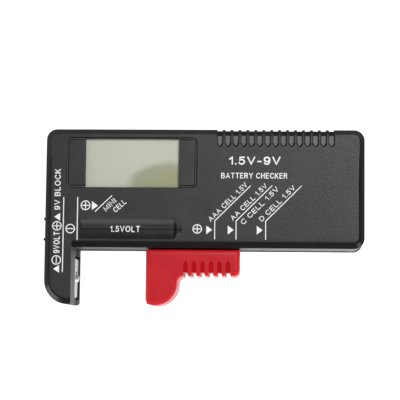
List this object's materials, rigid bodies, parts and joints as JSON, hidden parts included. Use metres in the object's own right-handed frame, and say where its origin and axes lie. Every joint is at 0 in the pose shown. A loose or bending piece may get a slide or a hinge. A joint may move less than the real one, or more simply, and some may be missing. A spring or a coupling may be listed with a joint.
{
  "type": "battery tester",
  "caption": "Flat hand-held battery tester: black two-part case with a display and a fixed arm, and a red sliding jaw along the lower edge that holds a cell against the arm.",
  "frame": {"origin": "middle of the underside of the box round the whole object, which lies on its back", "axes": "+X to the right along the length, +Y up the front face, +Z out of the front face"},
  "size_m": [0.11, 0.0597, 0.024],
  "materials": {
    "shell": "fine spark-eroded texture, black",
    "slider": "satin red moulding",
    "nickel": "nickel-plated, satin",
    "screw": "zinc-plated",
    "display_film": "grey-green display film",
    "display_glass": "clear",
    "rubber": "matte",
    "board": "green solder mask",
    "epoxy": "black epoxy",
    "resistor": "lacquered",
    "sleeve": "shrink sleeve",
    "ferrite": "ferrite",
    "red_wire": "insulated wire",
    "black_wire": "insulated wire"
  },
  "bodies": {
    "housing": {"front_shell": "shell", "rear_shell": "shell", "case_screw_1": "screw", "case_screw_2": "screw", "case_screw_3": "screw", "case_screw_4": "screw", "nine_volt_positive_stud": "nickel", "nine_volt_negative_stud": "nickel", "contact_rail": "nickel", "lcd_polarizer": "display_film", "lcd_front_glass": "display_glass", "lcd_rear_glass": "display_glass", "lcd_reflector": "display_film", "lcd_connector": "rubber", "circuit_board": "board", "board_screw_1": "screw", "board_screw_2": "screw", "board_screw_3": "screw", "chip_blob": "epoxy", "load_resistor_1": "resistor", "load_resistor_2": "resistor", "chip_resistor_1": "epoxy", "chip_resistor_2": "epoxy", "chip_resistor_3": "epoxy", "chip_resistor_4": "epoxy", "capacitor": "sleeve", "inductor": "ferrite", "nine_volt_positive_wire": "red_wire", "nine_volt_negative_wire": "black_wire", "arm_contact_wire": "black_wire", "rail_wire": "red_wire"},
    "slider": {"slider_front": "slider", "slider_rear": "slider", "slider_contact": "nickel"},
    "arm_leaf": {"arm_contact": "nickel"}
  },
  "joints": [
    {"name": "slider_slide", "type": "slide", "parent": "housing", "child": "slider", "axis": [1, 0, 0], "range_m": [-0.0225, 0.0405]},
    {"name": "arm_leaf_press", "type": "slide", "parent": "housing", "child": "arm_leaf", "axis": [-1, 0, 0], "range_m": [0, 0.0008], "stiffness_N_per_m": 1500}
  ]
}
